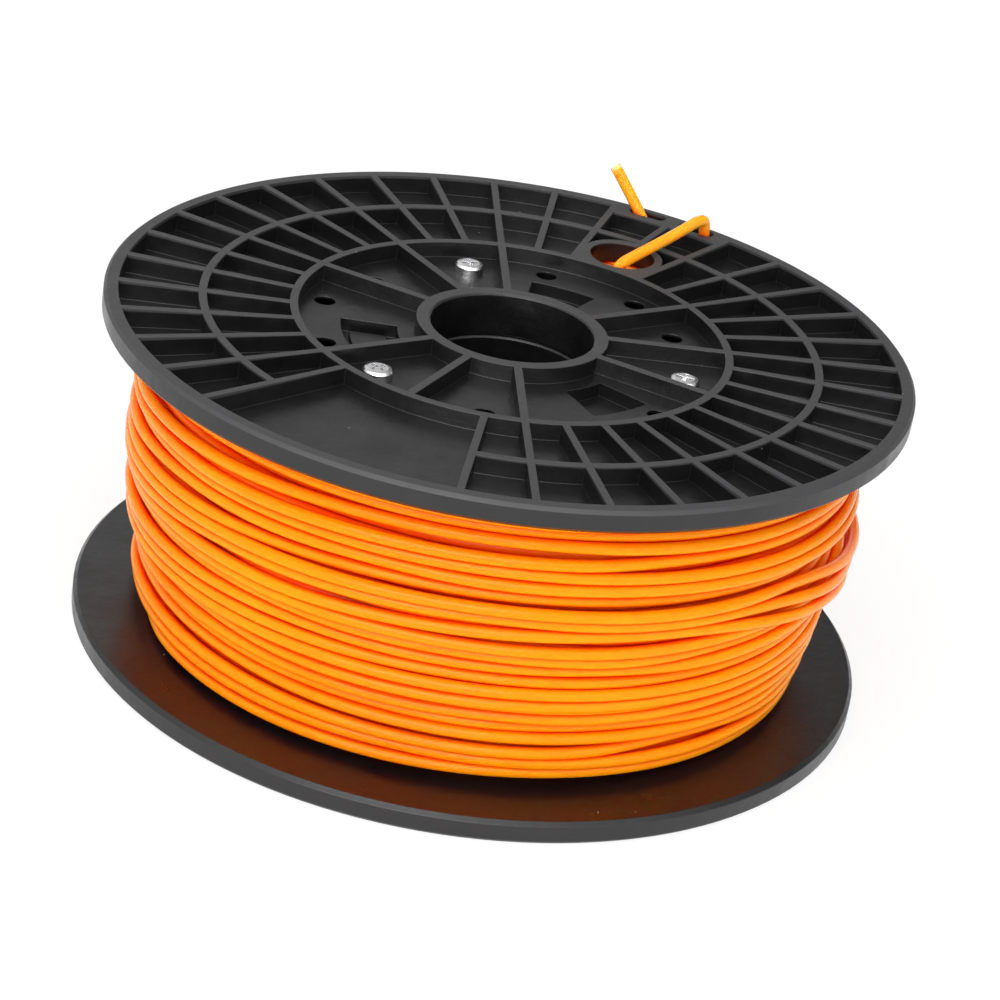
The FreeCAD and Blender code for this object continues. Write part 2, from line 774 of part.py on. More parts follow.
def print_least_gap(route, turn_count):
    """Measure how near neighbouring turns come to each other, on points along the strand."""
    per_turn = 48
    search = 6
    points = route.discretize(Number=turn_count * per_turn)
    least = min(
        (points[index] - points[other]).Length
        for index in range(len(points) - per_turn - search)
        for other in range(index + per_turn - search, index + per_turn + search)
    )
    print("least gap between turns", round(least - size("filament_diameter").value, 2), "mm")


def tail_route():
    """Corner points of the strand's free start, as distance out, angle and height."""
    top = spool_width.value
    pack_top = (upper_face - pack_clearance).value
    below = pack_top - size("tail_drop").value
    hole_out = hole_offset.value
    slot_out = size("slot_circle_radius").value
    slot_angle = (size("slot_near_angle").value + size("slot_far_angle").value) / 2

    def at(distance, angle, height):
        return direction(angle) * distance + Vector(0, 0, height)

    return [
        at(hole_out - 6.5, -1.3, pack_top),
        at(hole_out - 6.5, -1.3, top - 1.2),
        at(hole_out + 3.6, -4.2, top + 1.6),
        at(slot_out - 14.5, -5.4, top + 3.3),
        at(slot_out - 2.6, -5.7, top + 4.7),
        at(slot_out - 0.1, -5.8, top + 2.3),
        at(slot_out + 0.3, -5.8, below),
        at(slot_out - 0.1, slot_angle - 2.8, below),
        at(slot_out - 0.1, slot_angle + 1.9, top + 1.0),
        at(slot_out + 0.2, slot_angle + 6.8, top + 10.9),
    ]


def rounded_route(points):
    """Straight runs through points, joined by tangent arcs as large as the shorter run allows."""
    share_of_run = 0.45
    edges = []
    radii = []
    here = points[0]
    for index in range(1, len(points) - 1):
        before, corner, after = points[index - 1:index + 2]
        back = (before - corner).normalize()
        onward = (after - corner).normalize()
        half_turn = (math.pi - back.getAngle(onward)) / 2
        shorter = min((before - corner).Length, (after - corner).Length)
        tangent = share_of_run * shorter
        radius = tangent / math.tan(half_turn)
        arc_start = corner + back * tangent
        arc_end = corner + onward * tangent
        bisector = (back + onward).normalize()
        top = corner + bisector * (radius / math.cos(half_turn) - radius)
        edges.append(Part.LineSegment(here, arc_start).toShape())
        edges.append(Part.Arc(arc_start, top, arc_end).toShape())
        here = arc_end
        radii.append(round(radius, 1))
    edges.append(Part.LineSegment(here, points[-1]).toShape())
    print("tail radii", radii)
    return Part.Wire(edges)


def make_tail(label):
    """The strand's free start: up through the filament hole and threaded through the rim slots."""
    route = rounded_route(tail_route())
    solid = pipe(route, filament_radius.value)
    expected = math.pi * filament_radius.value ** 2 * route.Length
    print("tail length", round(route.Length, 1), "volume ratio", round(solid.Volume / expected, 4))
    feature = doc.addObject("Part::Feature", label)
    feature.Label = label
    feature.Shape = solid
    feature.Placement = Placement(Vector(), Rotation(Vector(0, 0, 1), hub_turn.value))
    return feature


def refine_once(body):
    """Merge split faces only in a body's last feature, which keeps the rebuild quick."""
    for feature in body.Group:
        if hasattr(feature, "Refine"):
            feature.Refine = feature == body.Tip


def stand_upright(body):
    """Put a flange or its screws at the top of the spool, filament hole at hub_turn."""
    lifted = Placement(Vector(0, 0, spool_width.value), Rotation(Vector(0, 0, 1), hub_turn.value))
    body.Placement = lifted.multiply(body.Placement)


def turn_over(body):
    """Put a flange or its screws at the bottom, turned half way round its filament hole's line."""
    lowered = Placement(Vector(), Rotation(Vector(0, 0, 1), hub_turn.value))
    flipped = Placement(Vector(), Rotation(Vector(0, 1, 0), 180))
    body.Placement = lowered.multiply(flipped).multiply(body.Placement)


upper_flange = make_flange("upper_flange")
stand_upright(upper_flange)
lower_flange = copy_of(upper_flange, "lower_flange")
turn_over(lower_flange)
barrel = make_barrel("barrel")
barrel.Placement = Placement(Vector(), Rotation(Vector(0, 0, 1), hub_turn.value))
upper_screws = make_screws("upper_screws", 1)
stand_upright(upper_screws)
lower_screws = make_screws("lower_screws", -1)
turn_over(lower_screws)
filament_pack = make_pack("filament_pack")
filament_outer_layer = make_outer_layer("filament_outer_layer")
filament_start = make_tail("filament_start")
refine_once(upper_flange)
refine_once(barrel)
doc.recompute()

parts = [upper_flange, lower_flange, barrel, upper_screws, lower_screws,
         filament_pack, filament_outer_layer, filament_start]
failed = [item.Name for item in doc.Objects if "Invalid" in item.State or "Error" in item.State]
if failed:
    raise RuntimeError(f"these did not compute: {failed}")
os.makedirs("parts", exist_ok=True)
for part in parts:
    shape = part.Shape
    if shape.isNull() or not shape.isValid():
        raise RuntimeError(f"{part.Label} has no valid shape")
    counts = f"solids {len(shape.Solids)} faces {len(shape.Faces)}"
    print(part.Label, counts, "volume", round(shape.Volume, 1))
    shape.exportStep(f"parts/{part.Label}.step")
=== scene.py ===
"""The looks of a filament spool: moulded flanges, bright screws, the wound strand and its threaded start,
a white studio and the photograph's camera. Metres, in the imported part's own frame."""
import math

import bpy
import numpy as np
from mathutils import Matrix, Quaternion, Vector


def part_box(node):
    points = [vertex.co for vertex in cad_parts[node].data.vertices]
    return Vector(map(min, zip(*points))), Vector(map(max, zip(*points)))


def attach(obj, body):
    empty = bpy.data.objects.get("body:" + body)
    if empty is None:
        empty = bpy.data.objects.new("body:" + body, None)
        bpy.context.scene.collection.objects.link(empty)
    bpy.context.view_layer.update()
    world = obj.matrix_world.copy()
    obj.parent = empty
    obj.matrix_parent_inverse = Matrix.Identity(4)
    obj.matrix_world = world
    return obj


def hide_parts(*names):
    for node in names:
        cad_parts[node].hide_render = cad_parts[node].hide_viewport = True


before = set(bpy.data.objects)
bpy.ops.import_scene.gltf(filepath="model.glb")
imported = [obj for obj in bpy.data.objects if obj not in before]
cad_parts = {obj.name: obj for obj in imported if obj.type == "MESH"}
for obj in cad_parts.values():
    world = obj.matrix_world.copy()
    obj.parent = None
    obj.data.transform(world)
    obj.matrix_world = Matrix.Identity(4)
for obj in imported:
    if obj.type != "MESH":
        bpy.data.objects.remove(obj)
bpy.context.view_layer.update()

MM = 0.001

# Camera of the photograph
SENSOR_WIDTH = 36.0
CAMERA_LENS = 119.8
CAMERA_PLACE = Vector((-87.6, -747.5, 401.9)) * MM
CAMERA_TARGET = Vector((2.7, -9.4, 43.0)) * MM
CAMERA_ROLL = math.radians(9.35)
VIEW_DEPTH = 100.0

# Side that the room is lightest on, the strength of its light there and on the far side, and the cosine
# of the angle from that side beyond which it gets no darker
LIGHT_SIDE = (-0.42, -0.72, 0.55)
ROOM_LIGHT = 1.25
ROOM_DARK = 0.04
ROOM_DARK_FROM = -0.6

# Soft boxes: name, place, power, width
LAMPS = [
    ("key_box", (-0.55, -1.65, 0.90), 32.0, 1.8),
    ("fill_box", (1.1, -1.2, 0.8), 4.5, 1.4),
    ("top_box", (-0.1, -0.1, 1.9), 9.0, 1.6),
    ("back_box", (-0.05, 1.8, 0.95), 1.2, 1.0),
]

# Floor: where its flat part ends, the radius of the bend beyond it, the height of its edge, and the rings
# of its flat part
FLOOR_FLAT = 7.0
FLOOR_BEND = 1.0
FLOOR_TOP = 1.5
FLOOR_RINGS = (0.5, 1.0, FLOOR_FLAT)
FLOOR_SIDES = 96
BEND_STEPS = 6

# Share of real light in the floor's white, and the share of the spool's radius at which the plain spot
# under it starts to fade
SHADOW_KEPT = 0.2
SPOT_FADES_FROM = 0.8

# Strand and winding. Each turn starts at the spool's back
STRAND_RADIUS = 1.5 * MM
STRAND_SIDES = 12
STEPS_PER_TURN = 180
TURN_START = math.radians(-270.0)
OUTER_TURNS = 22
UNDER_TURNS = 23
LAYER_DEPTH = 5.4 * MM
CORE_GAP = 0.2 * MM
PACK_CLEARANCE = 0.3 * MM
SEED = 7

# Height and distance from the axis of the outer turns' centres in millimetres, read off the photograph's
# outlines
WINDING_PROFILE = [
    (7.0, 82.7), (20.0, 83.8), (27.0, 84.8), (33.0, 86.8),
    (45.0, 87.9), (60.0, 88.9), (70.0, 88.4), (80.0, 87.2),
]

# Sag of the turns at the spool's left and right: depth, height of its middle, and reach above and below
# it, in millimetres
LEFT_SAG = (4.5, 58.0, 18.0)
RIGHT_SAG = (4.5, 66.0, 14.0)

# Drift of each strand along its turns: amount, and the waves in one turn that it is made of
OUTER_WANDER = (2.1 * MM, (1.31, 2.17, 3.43))
UNDER_WANDER = (1.0 * MM, (0.83, 1.71, 2.57))

# Turns that dip across their neighbours on the right: turn, depth of the dip in millimetres, and its middle
# and half its width in degrees
STRAYS = [(12, 11.5, 5.0, 70.0), (13, 10.8, 5.0, 62.0), (14, 10.8, 6.0, 58.0)]

# How turns settle: least spacing, and the share taken back of what stands out further than FIRM_FROM
LEAST_SPACING = 2.6 * MM
SPREAD_ROUNDS = 80
FIRM_FROM = 0.8 * MM
FIRM_SHARE = 0.65

# Laying a turn: surface cells, points that feel for the surface, steps bridged by tension, and smoothing
CELL = 0.25 * MM
TOUCH_POINTS = 13
TAUT_SPANS = (8, 4, 2, 1, 4, 2, 1)
TAUT_ROUNDS = 12
DISTANCE_SMOOTHING = 4
HEIGHT_SMOOTHING = 6

# Both ends of a wound strand dive in: steps that it takes, and how deep
TUCK_STEPS = 16
TUCK_DEPTH = 4.0 * MM

# Packed core: turns that show on its faces, points of each, levels up its side, and sides round the axis
CORE_BUMPS = 9
BUMP_POINTS = 6
CORE_LEVELS = 24
CORE_SIDES = 180

# The strand's start: distance out and height in millimetres, with the angle from the filament hole's
# direction in degrees between them
HOLE_DIRECTION = 60.0
START_ROUTE = [
    (57.4, -1.3, 80.4), (57.4, -1.3, 85.2), (63.9, -3.2, 87.0), (67.5, -4.2, 88.0), (81.3, -5.4, 89.7),
    (93.2, -5.7, 91.1), (95.7, -5.8, 88.7), (96.1, -5.8, 76.2), (95.7, 1.5, 76.2), (95.7, 6.2, 87.4),
    (96.0, 11.1, 97.3),
]
START_STEPS = 24
START_BEVEL_STEPS = 5

# Parts of a noise's range that are stretched to the full range
BROAD = (0.3, 0.7)
NARROW = (0.35, 0.65)

# Samples taken to round the edges and to feel for grooves
SHADER_SAMPLES = 6

# Black plastic. Noise is given as waves per metre, detail and roughness, a bump as strength and depth
BLACKS = ((0.0025, 0.0025, 0.0028), (0.0045, 0.0045, 0.0050))
BLACK_MOTTLE = (38.0, 4.0, 0.6)
BLACK_FLOW = (95.0, 4.0, 0.65)
BLACK_GRAIN = (2600.0, 2.0)
BLACK_ROUGHNESS = (0.26, 0.42)
BLACK_SHINE = 0.65
BLACK_EDGE = 0.35 * MM
GRAIN_BUMP = (0.12, 0.05 * MM)
LINE_BUMP = (0.30, 0.08 * MM)
FLOW_BUMP = (0.50, 0.60 * MM)
LINE_STRETCH = (20.0, 20.0, 1300.0)
LINE_NOISE = (1.0, 3.0)

# Edges of ribs and rings near the plastic's outer face: a lighter colour that is painted light on these top
# faces, added roughness for their matt finish from rubbing, and how far from the outer face both fade out
TOP_FACE_PAINTED_LIGHT_BLACK = (0.030, 0.030, 0.032)
RUBBED_ROUGHNESS = 0.18
RUBBED_AND_LIT_FADE = (0.75 * MM, 0.95 * MM)

# Dust: colour, cells per metre, size of a speck in cells, and the noise that picks the dusty spots
DUST_COLOUR = (0.16, 0.15, 0.14)
DUST_CELLS = 170.0
DUST_SIZE = (0.035, 0.055)
DUST_NOISE = (55.0, 0.0)
DUST_PICKED = (0.60, 0.62)

# Zinc plate
ZINCS = ((0.86, 0.86, 0.87), (0.96, 0.96, 0.97))
ZINC_MARKS = (3200.0, 3.0, 0.6)
ZINC_DENTS = (700.0, 1.0)
ZINC_ROUGHNESS = (0.16, 0.30)
ZINC_EDGE = 0.2 * MM
DENT_BUMP = (0.35, 0.12 * MM)

# Orange filament: two colours of the winding and of the start, whose lighter, yellower colours are painted
# light on the free strand, how far light passes into each, and the shares of that depth that red, green and
# blue light reach
WOUND_ORANGES = ((1.0, 0.225, 0.001), (1.0, 0.275, 0.001))
START_PAINTED_LIGHT_ORANGES = ((1.0, 0.330, 0.010), (1.0, 0.420, 0.018))
WOUND_DEPTH = 3.5 * MM
START_DEPTH = 1.5 * MM
DEPTH_PER_COLOUR = (1.0, 0.12, 0.02)
ORANGE_DRIFT = (14.0, 3.0, 0.5)
ORANGE_GRAIN = (900.0, 2.0)
ORANGE_ROUGHNESS = (0.18, 0.26)
ORANGE_SHINE = 0.15
ORANGE_BUMP = (0.06, 0.03 * MM)

# Painted shade in the grooves between turns: the deep red painted where a spot is closed in, how far what
# surrounds a spot counts, and the openness that clears the painted shade
GROOVE_PAINTED_SHADE_ORANGE = (1.0, 0.058, 0.0)
GROOVE_SHADE_REACH = 3.5 * MM
GROOVE_SHADE_OPENNESS = (0.3, 0.85)

# Cut end of the strand: colour, and how far from its centre the colour fades out
CUT_ORANGE = (1.0, 0.72, 0.30)
CUT_FADE = (1.55 * MM, 1.9 * MM)

# White of the floor
WHITES = ((0.96, 0.96, 0.96), (0.98, 0.98, 0.98))
WHITE_MOTTLE = (3.0, 1.0)
WHITE_ROUGHNESS = 0.9


def link_object(name, data):
    """Put new data into the scene as an object."""
    item = bpy.data.objects.new(name, data)
    bpy.context.scene.collection.objects.link(item)
    return item


def mesh_object(name, points, faces):
    """Build a smooth mesh from points and faces."""
    mesh = bpy.data.meshes.new(name)
    mesh.from_pydata([tuple(point) for point in points], [], faces)
    mesh.polygons.foreach_set("use_smooth", [True] * len(mesh.polygons))
    mesh.update()
    return link_object(name, mesh)


def circle(sides):
    """Evenly spaced angles once round."""
    return [2 * math.pi * side / sides for side in range(sides)]


class Nodes:
    """A material with short calls that add, set and join its nodes."""

    def __init__(self, name):
        self.material = bpy.data.materials.new(name)
        self.material.use_nodes = True
        self.tree = self.material.node_tree
        self.shader = self.tree.nodes["Principled BSDF"]
        self.output = self.tree.nodes["Material Output"]
        self.place = self.add("ShaderNodeTexCoord").outputs["Object"]

    def add(self, kind, **settings):
        node = self.tree.nodes.new(kind)
        for key, value in settings.items():
            setattr(node, key, value)
        return node

    def link(self, source, target):
        self.tree.links.new(source, target)

    def noise(self, scale, detail, roughness=0.5, place=None):
        node = self.add("ShaderNodeTexNoise")
        node.inputs["Scale"].default_value = scale
        node.inputs["Detail"].default_value = detail
        node.inputs["Roughness"].default_value = roughness
        self.link(place or self.place, node.inputs["Vector"])
        return node.outputs["Fac"]

    def fit(self, source, low, high, to_low=0.0, to_high=1.0):
        """Carry a value from one range to another, held at its ends."""
        node = self.add("ShaderNodeMapRange")
        node.inputs["From Min"].default_value = low
        node.inputs["From Max"].default_value = high
        node.inputs["To Min"].default_value = to_low
        node.inputs["To Max"].default_value = to_high
        self.link(source, node.inputs["Value"])
        return node.outputs["Result"]

    def maths(self, operation, *values):
        """Work on sockets or numbers."""
        node = self.add("ShaderNodeMath", operation=operation)
        for index, value in enumerate(values):
            if isinstance(value, (int, float)):
                node.inputs[index].default_value = value
            else:
                self.link(value, node.inputs[index])
        return node.outputs["Value"]

    def mix(self, share, first, second):
        """Blend two colours, each a socket or a colour."""
        node = self.add("ShaderNodeMix", data_type="RGBA")
        self.link(share, node.inputs["Factor"])
        for name, value in (("A", first), ("B", second)):
            socket = [item for item in node.inputs if item.name == name and item.type == "RGBA"][0]
            if isinstance(value, tuple):
                socket.default_value = (*value, 1.0)
            else:
                self.link(value, socket)
        return [item for item in node.outputs if item.type == "RGBA"][0]

    def bump(self, height, strength, depth, normal=None):
        """Tilt the surface by a height, on top of what already tilts it."""
        node = self.add("ShaderNodeBump")
        node.inputs["Strength"].default_value = strength
        node.inputs["Distance"].default_value = depth
        self.link(height, node.inputs["Height"])
        if normal is not None:
            self.link(normal, node.inputs["Normal"])
        return node.outputs["Normal"]

    def groove_shade_openness(self, reach):
        """How open a spot is to what surrounds it, 1 on a crest and less in a groove."""
        node = self.add("ShaderNodeAmbientOcclusion", samples=SHADER_SAMPLES)
        node.inputs["Distance"].default_value = reach
        return node.outputs["AO"]

    def along(self, axis):
        """The surface's own coordinate along one axis."""
        node = self.add("ShaderNodeSeparateXYZ")
        self.link(self.place, node.inputs["Vector"])
        return node.outputs[axis]

    def soft_edges(self, radius):
        """A normal that rounds the edges."""
        node = self.add("ShaderNodeBevel", samples=SHADER_SAMPLES)
        node.inputs["Radius"].default_value = radius
        return node.outputs["Normal"]

    def set(self, **values):
        """Give the shader's inputs numbers, colours or sockets."""
        for name, value in values.items():
            socket = self.shader.inputs[name.replace("_", " ")]
            if isinstance(value, (int, float, tuple)):
                socket.default_value = value
            else:
                self.link(value, socket)


def rub_lines(nodes):
    """Fine level lines, from noise that is stretched round the spool."""
    stretched = nodes.add("ShaderNodeMapping")
    stretched.inputs["Scale"].default_value = LINE_STRETCH
    nodes.link(nodes.place, stretched.inputs["Vector"])
    return nodes.noise(*LINE_NOISE, place=stretched.outputs["Vector"])


def rubbed_and_painted_light_share(nodes, outer_face):
    """How much painted light and matt finish the surface takes: fully near the height outer_face, and not at
    all away from it.
    """
    away = nodes.maths("SUBTRACT", nodes.along("Z"), outer_face)
    away = nodes.maths("ABSOLUTE", away)
    return nodes.fit(away, *RUBBED_AND_LIT_FADE, 1.0, 0.0)


def dust_share(nodes):
    """Where specks of dust lie."""
    cells = nodes.add("ShaderNodeTexVoronoi", feature="F1")
    cells.inputs["Scale"].default_value = DUST_CELLS
    nodes.link(nodes.place, cells.inputs["Vector"])
    near = nodes.fit(cells.outputs["Distance"], *DUST_SIZE, 1.0, 0.0)
    picked = nodes.fit(nodes.noise(*DUST_NOISE), *DUST_PICKED)
    return nodes.maths("MULTIPLY", near, picked)


def moulded_plastic(name, outer_face=None):
    """Black moulded plastic: satin, faintly mottled, with rounded edges, level rub lines and specks of dust.

    The edges of ribs and rings that end near the height outer_face are matt from rubbing, and painted a
    little lighter: painted light on these top faces.
    """
    nodes = Nodes(name)
    colour = nodes.mix(nodes.fit(nodes.noise(*BLACK_MOTTLE), *BROAD), *BLACKS)
    flow = nodes.noise(*BLACK_FLOW)
    roughness = nodes.fit(flow, *BROAD, *BLACK_ROUGHNESS)
    if outer_face is not None:
        # Painted light: the top faces near outer_face get a lighter colour for the light they catch; the
        # added roughness is their matt finish
        rubbed_and_lit = rubbed_and_painted_light_share(nodes, outer_face)
        colour = nodes.mix(rubbed_and_lit, colour, TOP_FACE_PAINTED_LIGHT_BLACK)
        roughness = nodes.maths("ADD", roughness, nodes.maths("MULTIPLY", rubbed_and_lit, RUBBED_ROUGHNESS))
    colour = nodes.mix(dust_share(nodes), colour, DUST_COLOUR)
    normal = nodes.bump(nodes.noise(*BLACK_GRAIN), *GRAIN_BUMP, nodes.soft_edges(BLACK_EDGE))
    normal = nodes.bump(rub_lines(nodes), *LINE_BUMP, normal)
    normal = nodes.bump(flow, *FLOW_BUMP, normal)
    nodes.set(Base_Color=colour, Roughness=roughness, Normal=normal, Specular_IOR_Level=BLACK_SHINE)
    return nodes.material


def bright_zinc():
    """Bright plated steel with fine turning marks and small dents."""
    nodes = Nodes("bright_zinc")
    marks = nodes.noise(*ZINC_MARKS)
    colour = nodes.mix(nodes.fit(marks, *NARROW), *ZINCS)
    normal = nodes.bump(nodes.noise(*ZINC_DENTS), *DENT_BUMP, nodes.soft_edges(ZINC_EDGE))
    nodes.set(Base_Color=colour, Metallic=1.0, Normal=normal)
    nodes.set(Roughness=nodes.fit(marks, *BROAD, *ZINC_ROUGHNESS))
    return nodes.material


def orange_filament(name, colours, depth, tip=None):
    """Glossy orange plastic that light passes into as far as depth, with painted shade, a deeper red, where
    it is closed in between turns.

    The plastic drifts between two colours. A cut end at the place tip is paler.
    """
    nodes = Nodes(name)
    drift = nodes.noise(*ORANGE_DRIFT)
    bright = nodes.mix(nodes.fit(drift, *NARROW), *colours)
    # Painted shade: spots closed in between turns are painted a deep red
    groove_shade_openness = nodes.fit(nodes.groove_shade_openness(GROOVE_SHADE_REACH), *GROOVE_SHADE_OPENNESS)
    colour = nodes.mix(groove_shade_openness, GROOVE_PAINTED_SHADE_ORANGE, bright)
    if tip is not None:
        apart = nodes.add("ShaderNodeVectorMath", operation="DISTANCE")
        nodes.link(nodes.place, apart.inputs[0])
        apart.inputs[1].default_value = tip
        colour = nodes.mix(nodes.fit(apart.outputs["Value"], *CUT_FADE), CUT_ORANGE, colour)
    nodes.set(Base_Color=colour, Roughness=nodes.fit(drift, *BROAD, *ORANGE_ROUGHNESS))
    nodes.set(Subsurface_Weight=1.0, Subsurface_Radius=DEPTH_PER_COLOUR, Subsurface_Scale=depth)
    normal = nodes.bump(nodes.noise(*ORANGE_GRAIN), *ORANGE_BUMP)
    nodes.set(Normal=normal, Specular_IOR_Level=ORANGE_SHINE)
    return nodes.material


def studio_white(under):
    """White seen by the camera and in reflections, with a share of real light so that shadows stay.

    The spot under the spool, as far out as under, is lit by real light alone.
    """
    nodes = Nodes("studio_white")
    colour = nodes.mix(nodes.fit(nodes.noise(*WHITE_MOTTLE), *BROAD), *WHITES)
    nodes.set(Base_Color=colour, Roughness=WHITE_ROUGHNESS, Specular_IOR_Level=0.0)
    glow = nodes.add("ShaderNodeEmission")
    blend = nodes.add("ShaderNodeMixShader")
    path = nodes.add("ShaderNodeLightPath")
    seen = nodes.maths("MAXIMUM", path.outputs["Is Camera Ray"], path.outputs["Is Glossy Ray"])
    seen = nodes.maths("MAXIMUM", seen, path.outputs["Is Transmission Ray"])
    out = nodes.add("ShaderNodeVectorMath", operation="LENGTH")
    nodes.link(nodes.place, out.inputs[0])
    open_floor = nodes.fit(out.outputs["Value"], SPOT_FADES_FROM * under, under)
    seen = nodes.maths("MULTIPLY", seen, open_floor)
    nodes.link(nodes.maths("MULTIPLY", seen, 1.0 - SHADOW_KEPT), blend.inputs["Fac"])
    nodes.link(nodes.shader.outputs["BSDF"], blend.inputs[1])
    nodes.link(glow.outputs["Emission"], blend.inputs[2])
    nodes.link(blend.outputs["Shader"], nodes.output.inputs["Surface"])
    return nodes.material


def make_camera():
    """The photograph's camera."""
    data = bpy.data.cameras.new("camera")
    data.sensor_width = SENSOR_WIDTH
    data.lens = CAMERA_LENS
    data.clip_end = VIEW_DEPTH
    camera = link_object("camera", data)
    aim = (CAMERA_TARGET - CAMERA_PLACE).to_track_quat("-Z", "Y")
    camera.location = CAMERA_PLACE
    camera.rotation_euler = (aim @ Quaternion((0, 0, 1), CAMERA_ROLL)).to_euler()
    bpy.context.scene.camera = camera


def make_world():
    """A soft room, lightest above and on the side that the photograph was taken from."""
    world = bpy.data.worlds.new("studio")
    bpy.context.scene.world = world
    world.use_nodes = True
    tree = world.node_tree
    background = tree.nodes["Background"]
    heading = tree.nodes.new("ShaderNodeTexCoord")
    towards = tree.nodes.new("ShaderNodeVectorMath")
    towards.operation = "DOT_PRODUCT"
    towards.inputs[1].default_value = LIGHT_SIDE
    shade = tree.nodes.new("ShaderNodeMapRange")
    shade.inputs["From Min"].default_value = ROOM_DARK_FROM
    shade.inputs["To Min"].default_value = ROOM_DARK
    shade.inputs["To Max"].default_value = ROOM_LIGHT
    tree.links.new(heading.outputs["Generated"], towards.inputs[0])
    tree.links.new(towards.outputs["Value"], shade.inputs["Value"])
    tree.links.new(shade.outputs["Result"], background.inputs["Strength"])
    background.inputs["Color"].default_value = (1.0, 1.0, 1.0, 1.0)


def make_lamp(name, place, power, width):
    """A square soft box that faces the spool's middle."""
    data = bpy.data.lights.new(name, "AREA")
    data.energy = power
    data.size = width
    lamp = link_object(name, data)
    lamp.location = place
    lamp.rotation_euler = (CAMERA_TARGET - Vector(place)).to_track_quat("-Z", "Y").to_euler()


def make_floor():
    """A round sheet of floor that curves up at its far edge, so that it fills a low view as well."""
    outline = [(out, 0.0) for out in FLOOR_RINGS]
    for step in range(1, BEND_STEPS + 1):
        turn = 0.5 * math.pi * step / BEND_STEPS
        outline.append((FLOOR_FLAT + FLOOR_BEND * math.sin(turn), FLOOR_BEND * (1.0 - math.cos(turn))))
    outline.append((FLOOR_FLAT + FLOOR_BEND, FLOOR_TOP))
    points = [(0.0, 0.0, 0.0)]
    for out, height in outline:
        for turn in circle(FLOOR_SIDES):
            points.append((out * math.cos(turn), out * math.sin(turn), height))
    faces = [(0, 1 + side, 1 + (side + 1) % FLOOR_SIDES) for side in range(FLOOR_SIDES)]
    for ring in range(len(outline) - 1):
        low = 1 + ring * FLOOR_SIDES
        high = low + FLOOR_SIDES
        for side in range(FLOOR_SIDES):
            after = (side + 1) % FLOOR_SIDES
            faces.append((low + side, high + side, high + after, low + after))
    floor = mesh_object("floor", points, faces)
    spool_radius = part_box("lower_flange")[1].x
    floor.data.materials.append(studio_white(under=spool_radius))


def turn_centre_distance(heights):
    """How far from the axis the outer turns' centres lie at some heights."""
    levels, distances = zip(*WINDING_PROFILE)
    return np.interp(heights, np.array(levels) * MM, np.array(distances) * MM)


def smoothing_weights(reach):
    """Weights of a value and of its neighbours up to reach, falling off to both sides."""
    weights = np.hanning(2 * reach + 3)[1:-1]
    return weights / weights.sum()


def smooth_ring(values, reach):
    """Average a closed run of values over a few neighbours each side."""
    shifts = range(-reach, reach + 1)
    return sum(weight * np.roll(values, shift) for weight, shift in zip(smoothing_weights(reach), shifts))


def smooth_run(values, reach):
    """Average an open run of values over a few neighbours each side."""
    padded = np.pad(values, reach, mode="edge")
    return np.convolve(padded, smoothing_weights(reach), mode="valid")


def pull_taut(distances):
    """Bridge the dips that a taut strand can't follow, then round what is left."""
    step = 2 * math.pi / STEPS_PER_TURN
    for span in TAUT_SPANS:
        for _ in range(TAUT_ROUNDS):
            before = np.roll(distances, span)
            after = np.roll(distances, -span)
            chord = 2 * before * after * math.cos(span * step) / (before + after)
            distances = np.maximum(distances, chord)
    return smooth_ring(distances, DISTANCE_SMOOTHING)


class Winding:
    """Strands laid one after another on a drum, each resting on what is already there."""

    def __init__(self, bottom, top):
        self.bottom = bottom
        self.cells = bottom + CELL * (np.arange(round((top - bottom) / CELL)) + 0.5)
        self.surface = np.tile(turn_centre_distance(self.cells) - LAYER_DEPTH, (STEPS_PER_TURN, 1))

    def rest(self, heights):
        """Distance from the axis at which a turn with these heights touches what it lies on."""
        steps = np.arange(STEPS_PER_TURN)
        touching = np.zeros(STEPS_PER_TURN)
        for offset in np.linspace(-1.0, 1.0, TOUCH_POINTS):
            cell = ((heights + offset * STRAND_RADIUS - self.bottom) / CELL).astype(int)
            cell = cell.clip(0, len(self.cells) - 1)
            rise = STRAND_RADIUS * math.sqrt(1.0 - offset * offset)
            touching = np.maximum(touching, self.surface[steps, cell] + rise)
        return touching

    def cover(self, heights, distances):
        """Raise the surface over a turn that has been laid."""
        aside = self.cells[None, :] - heights[:, None]
        inside = np.clip(STRAND_RADIUS ** 2 - aside ** 2, 0.0, None)
        top = np.where(inside > 0.0, distances[:, None] + np.sqrt(inside), 0.0)
        self.surface = np.maximum(self.surface, top)

    def lay(self, heights):
        """Lay one turn under tension and return its distances from the axis."""
        distances = pull_taut(self.rest(heights))
        self.cover(heights, distances)
        return distances


def turn_azimuths():
    """Azimuths of one turn's steps, from the back of the spool round by its left and front."""
    return TURN_START + 2 * math.pi * np.arange(STEPS_PER_TURN) / STEPS_PER_TURN


def wander(chance, turns, amount, waves):
    """Small unrelated drifts of a strand along all its turns."""
    along = np.arange(turns * STEPS_PER_TURN) / STEPS_PER_TURN
    total = np.zeros(len(along))
    for wave in waves:
        total += np.sin(2 * math.pi * (wave * along + chance.random())) / wave
    return amount * total / len(waves)


def sag_at(levels, depth, middle, reach):
    """How far turns at some levels hang down where their sag is deepest."""
    return depth * MM * np.exp(-((levels / MM - middle) / reach) ** 2)


def sag(levels, azimuths):
    """How far turns hang down at the spool's left and right sides, as in the photograph."""
    across = np.cos(azimuths)
    left = sag_at(levels, *LEFT_SAG) * np.clip(-across, 0.0, None) ** 2
    right = sag_at(levels, *RIGHT_SAG) * np.clip(across, 0.0, None) ** 2
    return left + right


